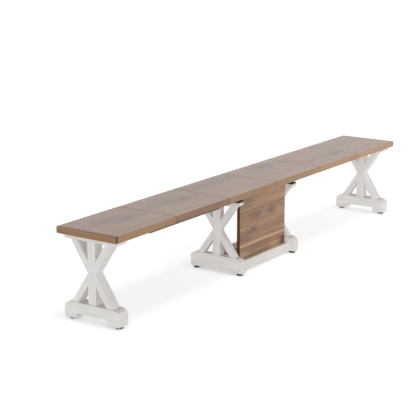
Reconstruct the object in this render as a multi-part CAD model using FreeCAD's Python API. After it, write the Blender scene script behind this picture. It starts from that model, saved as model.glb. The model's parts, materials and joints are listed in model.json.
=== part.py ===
"""Extending trestle bench with a row of six wooden leaves on telescopic slides.

Millimetres. X runs along the seat, from the near end (-X) to the far end (+X), Y runs
across it with the front edge at -Y, and Z is up. The origin lies on the floor, midway
along and across the seat. The bench is drawn out to its full length, as in use.

The two end leaves are fixed to the end trestles. Each end section is carried by a pair
of slides, one under each long edge: a fixed bar on the centre stand, a middle bar, a
carrier bar and an end bar. The slides of the two ends lie in different lanes, turned
half a turn about Z, so that they pass each other when the bench is closed. Four loose
leaves lie on the bars and go into the store in the centre stand when it is closed.
"""
import FreeCAD
import Part
import math
import os
from collections import namedtuple

# Seat
leaf_count = 6
leaf_pitch = 464.0
seam_gap = 0.6
top_width = 355.0
top_thickness = 33.0
seat_height = 457.0
end_strip_thickness = 12.0
edge_chamfer = 1.2
end_overhang = 28.0

# Battens under the loose leaves
batten_width = 42.0
batten_thickness = 8.0
batten_inset = 88.0
batten_clearance = 2.0
batten_end_slope = 5.0

# Foot beams
glide_height = 13.0
beam_length = 327.0
beam_height = 80.0
shoulder_run = 41.0
shoulder_drop = 20.0
pad_length = 68.0
cove_radius = 8.0
cove_share = 0.8
end_recess = 25.0
stand_recess = 8.0

# Trestle members, seen along X
post_width = 45.0
arm_width = 32.0
arm_spread = 245.0
waist_width = 45.0
tenon_width = 28.0
tenon_length = 12.0
tenon_share = 0.5
tenon_clearance = 0.2

# Depths of the members along X
end_beam_depth = 70.0
end_arm_depth = 56.0
end_post_depth = 58.0
end_rail_depth = 70.0
stand_beam_depth = 44.0
stand_arm_depth = 33.0
stand_post_depth = 42.0
stand_rail_depth = 44.0

# Top rails
end_rail_thickness = 24.0
end_rail_length = 325.0
stand_rail_thickness = 25.0
stand_rail_length = 290.0
rail_nose_run = 22.0
rail_nose_drop = 16.0

# Glides
glide_radius = 17.0
glide_top_radius = 14.5
glide_spread = 276.0
stem_radius = 5.0
stem_length = 30.0
stem_clearance = 0.3

# Slides
slide_clearance = 0.3
bar_height = 19.5
bar_wall = 2.0
lane_width = 9.0
lane_gap = 1.0
set_gap = 6.0
carrier_length = 590.0
carrier_setback = 43.0
middle_length = 366.0
middle_overlap = 90.0
end_bar_setback = 9.0
closed_clearance = 2.0
shoe_length = 30.0
shoe_clearance = 0.3
shoe_gap = 4.0
end_shoe_pitch = 83.0
end_plate_thickness = 3.0
end_plate_width = 28.0

# Saddles, which hold the fixed bars on the stand's rails
saddle_thickness = 8.0
saddle_seat = 1.0
saddle_margin = 2.0

# Centre stand and its leaf store
stand_offset = -36.0
store_end_clearance = 15.0
skirt_spread = 248.0
skirt_thickness = 20.0
skirt_ground_gap = 8.0
skirt_height = 52.0
ledger_width = 12.0
ledger_height = 12.0
ledger_lift = 6.0
slat_count = 4
slat_width = 64.0
slat_thickness = 10.0
slat_end_gap = 1.0
panel_thickness = 20.0
panel_near_gap = 29.0
panel_far_gap = 6.0
bracket_thickness = 2.5
bracket_length = 54.0
bracket_reach = 34.0

# Screws that hold the end leaves to the end rails
screw_radius = 3.0
screw_head_flats = 10.0
screw_head_height = 4.0
screw_grip = 20.0
screw_clearance = 0.2
screw_inner_y = 50.0
screw_outer_y = 134.0

# Heights that follow
leaf_bottom = seat_height - top_thickness
bar_top = leaf_bottom - slide_clearance
bar_bottom = bar_top - bar_height
beam_top = glide_height + beam_height
end_rail_bottom = leaf_bottom - end_rail_thickness
stand_rail_top = bar_bottom - saddle_seat - saddle_thickness
stand_rail_bottom = stand_rail_top - stand_rail_thickness
ledger_bottom = skirt_ground_gap + ledger_lift
slat_bottom = ledger_bottom + ledger_height
slat_top = slat_bottom + slat_thickness

# Places along X that follow
seat_half = leaf_count * leaf_pitch / 2.0
end_trestle_x = seat_half - end_overhang - end_beam_depth / 2.0
end_inner_face = end_trestle_x - end_beam_depth / 2.0
store_length = leaf_pitch + 2.0 * store_end_clearance
stand_near_x = stand_offset - (store_length + stand_beam_depth) / 2.0
stand_far_x = stand_offset + (store_length + stand_beam_depth) / 2.0
store_near = stand_offset - store_length / 2.0
store_far = stand_offset + store_length / 2.0
fixed_half = leaf_pitch - end_overhang - end_beam_depth - closed_clearance

# Lanes across Y: each set of slides has three lanes, counted from its outer face inwards
outer_set = stand_rail_length / 2.0
set_width = 3.0 * lane_width + 2.0 * lane_gap
inner_set = outer_set - set_width - set_gap
carrier_lane = 0
middle_lane = 1
fixed_lane = 2
innermost_bar = inner_set - set_width

Trestle = namedtuple(
    "Trestle",
    "x beam_depth arm_depth post_depth rail_depth recess rail_bottom rail_top rail_length",
)
Side = namedtuple("Side", "sign set_face")
NEAR = -1
FAR = 1


def vector_x(x, point):
    """Return the 3-D point at x whose (y, z) are given."""
    return FreeCAD.Vector(x, point[0], point[1])


def prism_x(x0, x1, start, steps):
    """Return the solid whose outline in YZ starts at start and follows steps, from x0 to x1.

    A step is one (y, z) point for a straight edge, or a pair of points, a point on the way
    and the end point, for an arc.
    """
    edges = []
    here = start
    for step in steps:
        if isinstance(step[0], tuple):
            way, end = step
            arc = Part.Arc(vector_x(x0, here), vector_x(x0, way), vector_x(x0, end))
            edges.append(arc.toShape())
        else:
            end = step
            edges.append(Part.makeLine(vector_x(x0, here), vector_x(x0, end)))
        here = end
    if math.dist(here, start) > 1e-6:
        edges.append(Part.makeLine(vector_x(x0, here), vector_x(x0, start)))
    face = Part.Face(Part.Wire(edges))
    return face.extrude(FreeCAD.Vector(x1 - x0, 0.0, 0.0))


def block(x0, x1, y0, y1, z0, z1):
    """Return a box between two corners, given in either order."""
    size_x = abs(x1 - x0)
    size_y = abs(y1 - y0)
    size_z = abs(z1 - z0)
    corner = FreeCAD.Vector(min(x0, x1), min(y0, y1), min(z0, z1))
    return Part.makeBox(size_x, size_y, size_z, corner)


def level_arc(run, fall):
    """Return how far along and down lies the middle of an arc that starts out level.

    The arc leaves a level line smoothly and ends run further along and fall further down.
    """
    radius = (run * run + fall * fall) / (2.0 * fall)
    half_angle = math.asin(min(1.0, run / radius)) / 2.0
    if fall > run:
        half_angle = (math.pi / 2.0) - half_angle
    return radius * math.sin(half_angle), radius * (1.0 - math.cos(half_angle))


def save(name, solids):
    """Write one node from a solid or a list of separate solids."""
    group = solids if isinstance(solids, list) else [solids]
    shape = group[0] if len(group) == 1 else Part.makeCompound(group)
    shape.exportStep("parts/" + name + ".step")


# Seat leaves


def chamfered_board(x0, x1, y0, y1, z0, z1, size):
    """Return a board with a small chamfer round its top and bottom faces."""
    board = block(x0, x1, y0, y1, z0, z1)
    rims = []
    for edge in board.Edges:
        box = edge.BoundBox
        if box.ZLength < size:
            rims.append(edge)
    return board.makeChamfer(size, rims)


def leaf_board(index):
    """Return leaf number index, counted from 0 at the near end, without an end strip."""
    x0 = -seat_half + index * leaf_pitch + seam_gap / 2.0
    x1 = -seat_half + (index + 1) * leaf_pitch - seam_gap / 2.0
    if index == 0:
        x0 = -seat_half + end_strip_thickness
    if index == leaf_count - 1:
        x1 = seat_half - end_strip_thickness
    half = top_width / 2.0
    return chamfered_board(x0, x1, -half, half, leaf_bottom, seat_height, edge_chamfer)


def end_strip(end):
    """Return the strip that closes the end grain of an end leaf."""
    half = top_width / 2.0
    outer = end * seat_half
    inner = end * (seat_half - end_strip_thickness)
    return chamfered_board(outer, inner, -half, half, leaf_bottom, seat_height, edge_chamfer)


def batten(x_middle):
    """Return one batten across the underside of a loose leaf, its ends cut back below."""
    half = innermost_bar - batten_clearance
    low = leaf_bottom - batten_thickness
    steps = [
        (half, leaf_bottom),
        (half - batten_end_slope, low),
        (-(half - batten_end_slope), low),
    ]
    x0 = x_middle - batten_width / 2.0
    return prism_x(x0, x0 + batten_width, (-half, leaf_bottom), steps)


def leaf_battens(index):
    """Return the two battens of a loose leaf."""
    middle = -seat_half + (index + 0.5) * leaf_pitch
    reach = leaf_pitch / 2.0 - batten_inset
    return [batten(middle - reach), batten(middle + reach)]


# Trestles


def foot_beam(trestle):
    """Return the foot beam: rounded shoulders, two pads and a coved recess between them."""
    half = beam_length / 2.0
    shoulder_low = beam_top - shoulder_drop
    flat_end = half - shoulder_run
    pad_end = half - pad_length
    recess_top = glide_height + trestle.recess
    cove = min(cove_radius, cove_share * trestle.recess)
    along, down = level_arc(shoulder_run, shoulder_drop)
    shoulder = (flat_end + along, beam_top - down)
    along, down = level_arc(cove, cove)
    cove_way = (pad_end - cove + along, recess_top - down)
    steps = [
        (half, shoulder_low),
        (shoulder, (flat_end, beam_top)),
        (-flat_end, beam_top),
        ((-shoulder[0], shoulder[1]), (-half, shoulder_low)),
        (-half, glide_height),
        (-pad_end, glide_height),
        (-pad_end, recess_top - cove),
        ((-cove_way[0], cove_way[1]), (-(pad_end - cove), recess_top)),
        (pad_end - cove, recess_top),
        (cove_way, (pad_end, recess_top - cove)),
        (pad_end, glide_height),
    ]
    x0 = trestle.x - trestle.beam_depth / 2.0
    beam = prism_x(x0, x0 + trestle.beam_depth, (half, glide_height), steps)
    mortise = tenon(trestle, beam_top - tenon_length, beam_top, tenon_clearance)
    return beam.cut([mortise] + stem_holes(trestle.x))


def stem_holes(x):
    """Return the two holes in a foot beam that take the glides' stems."""
    holes = []
    for sign in (-1, 1):
        base = FreeCAD.Vector(x, sign * glide_spread / 2.0, glide_height)
        radius = stem_radius + stem_clearance
        holes.append(Part.makeCylinder(radius, stem_length + stem_clearance, base))
    return holes


def tenon(trestle, z0, z1, clearance):
    """Return the block of a post's tenon, or with a clearance its mortise."""
    half_x = trestle.post_depth * tenon_share / 2.0 + clearance
    half_y = tenon_width / 2.0 + clearance
    return block(trestle.x - half_x, trestle.x + half_x, -half_y, half_y, z0 - clearance, z1)


def post(trestle):
    """Return the upright post with a stub tenon at each end."""
    half_x = trestle.post_depth / 2.0
    half_y = post_width / 2.0
    shaft = block(
        trestle.x - half_x, trestle.x + half_x, -half_y, half_y, beam_top, trestle.rail_bottom
    )
    low = tenon(trestle, beam_top - tenon_length, beam_top, 0.0)
    high = tenon(trestle, trestle.rail_bottom, trestle.rail_bottom + tenon_length, 0.0)
    return shaft.fuse([low, high]).removeSplitter()


def arm(trestle, sign, foot_z):
    """Return one slanted arm between the post and the beam or rail whose face is at foot_z.

    The outer edge runs from the end of the spread to the waist at the trestle's mid-height.
    The inner edge is parallel to it, and both are cut square to the post's side.
    """
    middle_z = (beam_top + trestle.rail_bottom) / 2.0
    rise = middle_z - foot_z
    foot_y = arm_spread / 2.0
    run = foot_y - waist_width / 2.0
    slope = rise / run
    level_cut = arm_width / math.sin(math.atan(abs(slope)))
    post_y = post_width / 2.0
    outer_z = foot_z + (foot_y - post_y) * slope
    inner_z = foot_z + (foot_y - level_cut - post_y) * slope
    steps = [
        (sign * post_y, outer_z),
        (sign * post_y, inner_z),
        (sign * (foot_y - level_cut), foot_z),
    ]
    x0 = trestle.x - trestle.arm_depth / 2.0
    return prism_x(x0, x0 + trestle.arm_depth, (sign * foot_y, foot_z), steps)


def lower_arms(trestle):
    """Return the two arms that stand on the foot beam."""
    return [arm(trestle, sign, beam_top) for sign in (-1, 1)]


def upper_arms(trestle):
    """Return the two arms that carry the top rail."""
    return [arm(trestle, sign, trestle.rail_bottom) for sign in (-1, 1)]


def top_rail(trestle):
    """Return the top rail, its ends rounded away below."""
    half = trestle.rail_length / 2.0
    nose_z = trestle.rail_bottom + rail_nose_drop
    nose_y = half - rail_nose_run
    along, rise = level_arc(rail_nose_run, rail_nose_drop)
    way = (nose_y + along, trestle.rail_bottom + rise)
    steps = [
        (-half, trestle.rail_top),
        (-half, nose_z),
        ((-way[0], way[1]), (-nose_y, trestle.rail_bottom)),
        (nose_y, trestle.rail_bottom),
        (way, (half, nose_z)),
    ]
    x0 = trestle.x - trestle.rail_depth / 2.0
    rail = prism_x(x0, x0 + trestle.rail_depth, (half, trestle.rail_top), steps)
    low = trestle.rail_bottom
    mortise = tenon(trestle, low, low + tenon_length + tenon_clearance, tenon_clearance)
    return rail.cut(mortise)


def glide(x, y):
    """Return one glide: a tapered round foot with a stem that screws up into the beam."""
    profile = [
        (0.0, 0.0),
        (glide_radius, 0.0),
        (glide_top_radius, glide_height),
        (stem_radius, glide_height),
        (stem_radius, glide_height + stem_length),
        (0.0, glide_height + stem_length),
    ]
    points = [FreeCAD.Vector(x + radius, y, z) for radius, z in profile]
    face = Part.Face(Part.makePolygon(points + [points[0]]))
    return face.revolve(FreeCAD.Vector(x, y, 0.0), FreeCAD.Vector(0, 0, 1), 360.0)


def glides(xs):
    """Return the glides under the foot beams at the given places along X."""
    return [glide(x, sign * glide_spread / 2.0) for x in xs for sign in (-1, 1)]


def save_trestle(prefix, trestle):
    """Write the wooden members of one trestle."""
    save(prefix + "_foot_beam", foot_beam(trestle))
    save(prefix + "_post", post(trestle))
    save(prefix + "_lower_arms", lower_arms(trestle))
    save(prefix + "_upper_arms", upper_arms(trestle))


# Screws of the end leaves


def screw_places(end):
    """Return the centres of the screws in an end rail."""
    x = end * end_trestle_x
    return [(x, y) for y in (-screw_outer_y, -screw_inner_y, screw_inner_y, screw_outer_y)]


def hexagon(x, y, z0, z1, across_flats):
    """Return a six-sided prism from z0 to z1, with two of its corners along X."""
    reach = across_flats / math.sqrt(3.0)
    points = []
    for number in range(7):
        angle = number * math.pi / 3.0
        corner_x = x + reach * math.cos(angle)
        corner_y = y + reach * math.sin(angle)
        points.append(FreeCAD.Vector(corner_x, corner_y, z0))
    face = Part.Face(Part.makePolygon(points))
    return face.extrude(FreeCAD.Vector(0, 0, z1 - z0))


def shank(place, radius):
    """Return the round shank of a screw that points up through an end rail."""
    base = FreeCAD.Vector(place[0], place[1], end_rail_bottom)
    return Part.makeCylinder(radius, end_rail_thickness + screw_grip, base)


def screws(end):
    """Return the hexagon-head screws of one end leaf, their heads under the rail."""
    group = []
    for place in screw_places(end):
        low = end_rail_bottom - screw_head_height
        head = hexagon(place[0], place[1], low, end_rail_bottom, screw_head_flats)
        group.append(head.fuse(shank(place, screw_radius)).removeSplitter())
    return group


def screw_holes(end):
    """Return the holes that the screws of one end leaf need."""
    return [shank(place, screw_radius + screw_clearance) for place in screw_places(end)]


# Slides


def slide_sides(end):
    """Return the two slides of one end: its outer set on one side, its inner on the other."""
    return [Side(end, outer_set), Side(-end, inner_set)]


def lane_faces(side, lane):
    """Return the outer and inner faces, as distances from the middle, of one lane."""
    outer = side.set_face - lane * (lane_width + lane_gap)
    return outer, outer - lane_width


def channel(x0, x1, side, lane):
    """Return a channel bar: a web on its outer face and two flanges that point inwards."""
    outer, inner = lane_faces(side, lane)
    bar = block(x0, x1, side.sign * outer, side.sign * inner, bar_bottom, bar_top)
    hollow = block(
        x0,
        x1,
        side.sign * (outer - bar_wall),
        side.sign * inner,
        bar_bottom + bar_wall,
        bar_top - bar_wall,
    )
    return bar.cut(hollow)


def shoe(x_middle, side, lane):
    """Return a shoe fixed to the outer face of a lane's bar, which rides in the next lane out."""
    outer = lane_faces(side, lane)[0]
    reach = lane_gap + lane_width - bar_wall - shoe_clearance
    height_play = bar_wall + shoe_clearance
    return block(
        x_middle - shoe_length / 2.0,
        x_middle + shoe_length / 2.0,
        side.sign * outer,
        side.sign * (outer + reach),
        bar_bottom + height_play,
        bar_top - height_play,
    )


def fixed_span():
    """Return the two ends along X of the fixed bars."""
    return stand_offset - fixed_half, stand_offset + fixed_half


def middle_span(end):
    """Return the inner and outer ends along X of the middle bars of one end."""
    inner = stand_offset + end * (fixed_half - middle_overlap)
    return inner, inner + end * middle_length


def carrier_span(end):
    """Return the inner and outer ends along X of the carrier bars of one end."""
    inner = end * (leaf_pitch + carrier_setback)
    return inner, inner + end * carrier_length


def end_bar_span(end):
    """Return the inner and outer ends along X of the end bars of one end."""
    inner_seam = (leaf_count / 2.0 - 1.0) * leaf_pitch
    return end * (inner_seam + end_bar_setback), end * end_inner_face


def fixed_bars():
    """Return the four solid bars that are fixed on the saddles."""
    x0, x1 = fixed_span()
    bars = []
    for end in (NEAR, FAR):
        for side in slide_sides(end):
            outer, inner = lane_faces(side, fixed_lane)
            bars.append(block(x0, x1, side.sign * outer, side.sign * inner, bar_bottom, bar_top))
    return bars


def fixed_shoes():
    """Return the shoes at the outer ends of the fixed bars, which carry the middle bars."""
    shoes = []
    for end in (NEAR, FAR):
        tip = stand_offset + end * fixed_half
        for side in slide_sides(end):
            for number in range(2):
                back = shoe_length / 2.0 + number * (shoe_length + shoe_gap)
                shoes.append(shoe(tip - end * back, side, fixed_lane))
    return shoes


def middle_bars(end):
    """Return the two middle bars of one end."""
    x0, x1 = middle_span(end)
    return [channel(x0, x1, side, middle_lane) for side in slide_sides(end)]


def middle_shoes(end):
    """Return the shoes of the middle bars, which carry the carrier bars."""
    tip = middle_span(end)[1]
    shoes = []
    for side in slide_sides(end):
        for number in range(2):
            back = shoe_length / 2.0 + number * (shoe_length + shoe_gap)
            shoes.append(shoe(tip - end * back, side, middle_lane))
    return shoes


def carrier_bars(end):
    """Return the two carrier bars of one end."""
    x0, x1 = carrier_span(end)
    return [channel(x0, x1, side, carrier_lane) for side in slide_sides(end)]


def end_bars(end):
    """Return the two end bars, each welded to a plate on the end rail's inner face."""
    x_inner, x_rail = end_bar_span(end)
    x_plate = x_rail - end * end_plate_thickness
    bars = []
    for side in slide_sides(end):
        outer = lane_faces(side, middle_lane)[0]
        bar = channel(x_inner, x_plate, side, middle_lane)
        plate = block(
            x_plate,
            x_rail,
            side.sign * outer,
            side.sign * (outer - end_plate_width),
            bar_bottom + slide_clearance,
            bar_top,
        )
        bars.append(bar.fuse(plate).removeSplitter())
    return bars


def end_shoes(end):
    """Return the shoes of the end bars, which hang on the carrier bars."""
    tip = end_bar_span(end)[0]
    shoes = []
    for side in slide_sides(end):
        for number in range(2):
            back = shoe_length / 2.0 + number * end_shoe_pitch
            shoes.append(shoe(tip + end * back, side, middle_lane))
    return shoes


def saddles():
    """Return the four saddles, each with a raised seat under the fixed bars that it holds."""
    low = stand_rail_top
    high = low + saddle_thickness
    group = []
    for x in (stand_near_x, stand_far_x):
        x0 = x - stand_rail_depth / 2.0
        x1 = x + stand_rail_depth / 2.0
        for sign in (-1, 1):
            plate = block(
                x0, x1, sign * outer_set, sign * (innermost_bar - saddle_margin), low, high
            )
            seats = []
            for set_face in (outer_set, inner_set):
                outer, inner = lane_faces(Side(sign, set_face), fixed_lane)
                seats.append(block(x0, x1, sign * outer, sign * inner, high, bar_bottom))
            group.append(plate.fuse(seats).removeSplitter())
    return group


# Centre stand and store


def skirt(sign):
    """Return a skirt board between the foot beams of the stand, at the front or the back."""
    outer = sign * skirt_spread / 2.0
    inner = sign * (skirt_spread / 2.0 - skirt_thickness)
    low = skirt_ground_gap
    return block(store_near, store_far, outer, inner, low, low + skirt_height)


def ledgers():
    """Return the two strips inside the skirts that carry the slats."""
    face = skirt_spread / 2.0 - skirt_thickness
    group = []
    for sign in (-1, 1):
        group.append(
            block(
                store_near,
                store_far,
                sign * face,
                sign * (face - ledger_width),
                ledger_bottom,
                slat_bottom,
            )
        )
    return group


def slats():
    """Return the slats of the store's floor, evenly spaced between the trestles."""
    half = skirt_spread / 2.0 - skirt_thickness - slat_end_gap
    space = (store_length - slat_count * slat_width) / (slat_count + 1)
    group = []
    for number in range(slat_count):
        x0 = store_near + space + number * (slat_width + space)
        group.append(block(x0, x0 + slat_width, -half, half, slat_bottom, slat_top))
    return group


def panel_back():
    """Return the place across Y of the front panel's back face."""
    return -(skirt_spread / 2.0 - skirt_thickness - panel_thickness)


def front_panel():
    """Return the panel behind the front skirt, which hides the stored leaves."""
    front = -(skirt_spread / 2.0 - skirt_thickness)
    return chamfered_board(
        store_near + panel_near_gap,
        store_far - panel_far_gap,
        front,
        panel_back(),
        slat_top,
        stand_rail_top,
        edge_chamfer,
    )


def bracket(rail_face, inward, gap):
    """Return a steel angle from a stand rail's inner face to the back of the front panel."""
    back = panel_back()
    low = stand_rail_bottom
    high = stand_rail_top - edge_chamfer
    on_panel = block(
        rail_face,
        rail_face + inward * (gap + bracket_length),
        back,
        back + bracket_thickness,
        low,
        high,
    )
    on_rail = block(
        rail_face, rail_face + inward * bracket_thickness, back, back + bracket_reach, low, high
    )
    return on_panel.fuse(on_rail).removeSplitter()


def panel_brackets():
    """Return the two angles that hold the top of the front panel."""
    near_face = stand_near_x + stand_rail_depth / 2.0
    far_face = stand_far_x - stand_rail_depth / 2.0
    return [bracket(near_face, 1, panel_near_gap), bracket(far_face, -1, panel_far_gap)]


def end_trestle(end):
    """Return the sizes of one end trestle."""
    return Trestle(
        end * end_trestle_x,
        end_beam_depth,
        end_arm_depth,
        end_post_depth,
        end_rail_depth,
        end_recess,
        end_rail_bottom,
        leaf_bottom,
        end_rail_length,
    )


def stand_trestle(x):
    """Return the sizes of one trestle of the centre stand."""
    return Trestle(
        x,
        stand_beam_depth,
        stand_arm_depth,
        stand_post_depth,
        stand_rail_depth,
        stand_recess,
        stand_rail_bottom,
        stand_rail_top,
        stand_rail_length,
    )


def build_end(prefix, end):
    """Write the nodes of one end section."""
    trestle = end_trestle(end)
    index = 0 if end == NEAR else leaf_count - 1
    holes = screw_holes(end)
    save(prefix + "_leaf_board", leaf_board(index).cut(holes))
    save(prefix + "_end_strip", end_strip(end))
    save_trestle(prefix, trestle)
    save(prefix + "_top_rail", top_rail(trestle).cut(holes))
    save(prefix + "_glides", glides([trestle.x]))
    save(prefix + "_leaf_screws", screws(end))
    save(prefix + "_slide_end_bars", end_bars(end))
    save(prefix + "_slide_end_shoes", end_shoes(end))
    save(prefix + "_slide_carrier_bars", carrier_bars(end))
    save(prefix + "_slide_middle_bars", middle_bars(end))
    save(prefix + "_slide_middle_shoes", middle_shoes(end))


def build_loose_leaves():
    """Write the loose leaves, numbered from the near end, and their battens."""
    for index in range(1, leaf_count - 1):
        prefix = "leaf_" + str(index + 1)
        save(prefix + "_board", leaf_board(index))
        save(prefix + "_battens", leaf_battens(index))


def build_stand():
    """Write the nodes of the centre stand."""
    for prefix, x in (("stand_near", stand_near_x), ("stand_far", stand_far_x)):
        trestle = stand_trestle(x)
        save_trestle(prefix, trestle)
        save(prefix + "_top_rail", top_rail(trestle))
    save("stand_glides", glides([stand_near_x, stand_far_x]))
    save("stand_front_skirt", skirt(-1))
    save("stand_back_skirt", skirt(1))
    save("store_ledgers", ledgers())
    save("store_slats", slats())
    save("store_front_panel", front_panel())
    save("store_panel_brackets", panel_brackets())
    save("slide_saddles", saddles())
    save("slide_fixed_bars", fixed_bars())
    save("slide_fixed_shoes", fixed_shoes())


os.makedirs("parts", exist_ok=True)
build_end("near", NEAR)
build_end("far", FAR)
build_loose_leaves()
build_stand()
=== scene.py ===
"""Looks of an extending trestle bench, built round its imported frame.

Metres, in the frame's own axes: X runs along the seat from the near end (-X) to the far end,
Y runs across it with the front edge at -Y, and Z is up. Every new piece stands for one node of
the frame or lies on one, and takes its place from that node's box.
"""
import json
import logging
import math
from collections.abc import Sequence
from dataclasses import dataclass, replace
from enum import Enum

import bpy
import numpy as np
from mathutils import Matrix, Vector


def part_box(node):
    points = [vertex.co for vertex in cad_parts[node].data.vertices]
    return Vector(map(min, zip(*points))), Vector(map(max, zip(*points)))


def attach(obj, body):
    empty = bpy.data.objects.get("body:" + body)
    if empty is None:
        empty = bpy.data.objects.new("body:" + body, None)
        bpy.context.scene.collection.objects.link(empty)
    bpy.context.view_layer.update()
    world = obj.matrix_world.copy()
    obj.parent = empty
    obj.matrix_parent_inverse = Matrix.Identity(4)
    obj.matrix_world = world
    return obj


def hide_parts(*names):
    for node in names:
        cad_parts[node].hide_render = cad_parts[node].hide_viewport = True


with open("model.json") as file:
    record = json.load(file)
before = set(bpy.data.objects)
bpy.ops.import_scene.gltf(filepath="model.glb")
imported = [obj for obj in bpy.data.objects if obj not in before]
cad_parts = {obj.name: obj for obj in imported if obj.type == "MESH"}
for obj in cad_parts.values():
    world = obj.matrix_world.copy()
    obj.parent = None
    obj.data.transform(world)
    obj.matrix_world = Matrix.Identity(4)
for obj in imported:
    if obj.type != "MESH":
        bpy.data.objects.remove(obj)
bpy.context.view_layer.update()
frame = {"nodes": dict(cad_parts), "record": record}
LOG = logging.getLogger("bench")
GRAIN = "grain_place"
GRAIN_SHIFT = 2.0
NEARLY_UPRIGHT = 0.9
REAL_CORNER = math.radians(20.0)
CORNER_TO_RIM = 1.1
RIM_ROWS = 4
HALF_TURN = math.pi
QUARTER_TURN = math.pi / 2.0
HEAD_SIDES = 16
FLAT_FACE_WEIGHT = 90
Colour = tuple[float, float, float]
Point = tuple[float, float, float]
Span = tuple[float, float]
WHITE = (1.0, 1.0, 1.0)
Socket = bpy.types.NodeSocket
Feed = float | Sequence[float] | Socket


class Axis(Enum):
    """The axis along which an outline is carried, with the places of its three numbers.

    The outline's two coordinates and the path's are named in turn order, so that an outline
    that runs anticlockwise always gives faces that point outwards.
    """

    X = (1, 2, 0)
    Y = (2, 0, 1)
    Z = (0, 1, 2)


@dataclass(frozen=True)
class Box:
    """The lowest and highest corners of a solid, in metres."""

    low: np.ndarray
    high: np.ndarray

    @property
    def middle(self) -> np.ndarray:
        """The box's centre."""
        return (self.low + self.high) / 2.0

    @property
    def side(self) -> int:
        """Which side of the middle across the bench the box lies on, -1 or 1."""
        return 1 if self.middle[1] > 0.0 else -1


@dataclass
class Surface:
    """One or more closed shells: their vertices, faces and places in the wood's own axes."""

    vertices: np.ndarray
    faces: list[list[int]]
    grain: np.ndarray | None = None

    def along(self, direction: Sequence[float], seed: int = 0) -> "Surface":
        """Set the wood's axes, with the grain along a direction in the YZ plane or along X.

        A vertex's place is its distance along the grain, and the two distances square to it.

        Args:
            direction: The way that the grain runs.
            seed: Shifts the place, so that two pieces of one finish differ. 0 leaves it.

        Returns:
            The surface itself.
        """
        length = np.array(direction, float) / np.linalg.norm(direction)
        helper = (0.0, 0.0, 1.0) if abs(length[2]) < NEARLY_UPRIGHT else (1.0, 0.0, 0.0)
        across = np.cross(helper, length)
        across /= np.linalg.norm(across)
        axes = np.stack([length, across, np.cross(length, across)], axis=1)
        self.grain = self.vertices @ axes
        if seed:
            self.grain += np.random.default_rng(seed).uniform(-GRAIN_SHIFT, GRAIN_SHIFT, 3)
        return self


def joined(parts: Sequence[Surface]) -> Surface:
    """Join separate shells into one surface.

    Args:
        parts: The shells. Either all of them have places in the wood's axes or none has.

    Returns:
        One surface that holds them all.
    """
    starts = np.cumsum([0] + [len(part.vertices) for part in parts[:-1]])
    faces = [[start + i for i in f] for start, part in zip(starts, parts) for f in part.faces]
    grain = None if parts[0].grain is None else np.concatenate([part.grain for part in parts])
    return Surface(np.concatenate([part.vertices for part in parts]), faces, grain)


def unit(angle: np.ndarray) -> np.ndarray:
    """Return the unit vectors, one row each, at the given angles."""
    return np.stack([np.cos(angle), np.sin(angle)], axis=-1)


def anticlockwise(points: np.ndarray) -> np.ndarray:
    """Return a closed outline's points so that they run anticlockwise.

    The sign of the enclosed area, half the sum of the cross products of neighbours, decides.
    """
    ahead = np.roll(points, -1, axis=0)
    area = np.sum(points[:, 0] * ahead[:, 1] - ahead[:, 0] * points[:, 1])
    return points if area > 0.0 else points[::-1]


def level_arc(start: Sequence[float], run: float, rise: float, steps: int = 12) -> np.ndarray:
    """Work out an arc that leaves a level line smoothly.

    A circle of radius (run^2 + rise^2) / (2 |rise|) touches the level line at the start and
    goes through the end. The point at angle a lies R sin a along and R (1 - cos a) up or down.

    Args:
        start: Where the arc leaves the level line.
        run: How far along it ends, with its sign.
        rise: How far up it ends, or down if below 0.
        steps: The number of straight steps.

    Returns:
        The arc's points, first and last included.
    """
    radius = (run * run + rise * rise) / (2.0 * abs(rise))
    last = math.asin(min(1.0, abs(run) / radius))
    if abs(rise) > abs(run):
        last = HALF_TURN - last
    angle = np.linspace(0.0, last, steps + 1)
    along = math.copysign(radius, run) * np.sin(angle)
    up = math.copysign(radius, rise) * (1.0 - np.cos(angle))
    return np.stack([start[0] + along, start[1] + up], axis=1)


def mirrored_outline(half: np.ndarray) -> np.ndarray:
    """Return the closed outline whose right half, from low to high, is given."""
    return np.concatenate([half, half[::-1] * (-1.0, 1.0)])


def rectangle(low: Sequence[float], high: Sequence[float]) -> np.ndarray:
    """Return the four corners between a low and a high one, anticlockwise."""
    return np.array([low, (high[0], low[1]), high, (low[0], high[1])], float)


def eased(points: np.ndarray, radius: float, steps: int = 3) -> np.ndarray:
    """Round each real corner of a closed outline.

    A corner is a point where the outline turns by more than 20 degrees. Its arc starts and
    ends radius * tan(turn / 2) away from it, round a centre that lies one radius to the side
    that the outline turns to. Every other point stays.

    Args:
        points: The outline.
        radius: The radius of the arcs.
        steps: The number of straight steps in an arc.

    Returns:
        The rounded outline, anticlockwise.
    """
    points = anticlockwise(points)
    incoming = points - np.roll(points, 1, axis=0)
    outgoing = np.roll(incoming, -1, axis=0)
    heading = np.arctan2(incoming[:, 1], incoming[:, 0])
    turn = np.arctan2(outgoing[:, 1], outgoing[:, 0]) - heading
    turn = (turn + HALF_TURN) % (2.0 * HALF_TURN) - HALF_TURN
    corner = np.abs(turn) > REAL_CORNER
    counts = np.where(corner, steps + 1, 1)
    owner = np.repeat(np.arange(len(points)), counts)
    share = (np.arange(len(owner)) - (np.cumsum(counts) - counts)[owner]) / steps
    quarter = np.sign(turn) * QUARTER_TURN
    first = points - unit(heading) * (radius * np.tan(np.abs(turn) / 2.0))[:, None]
    centre = first + radius * unit(heading + quarter)
    arc = centre[owner] + radius * unit((heading - quarter)[owner] + turn[owner] * share)
    return np.where(corner[owner][:, None], arc, points[owner])


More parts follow.
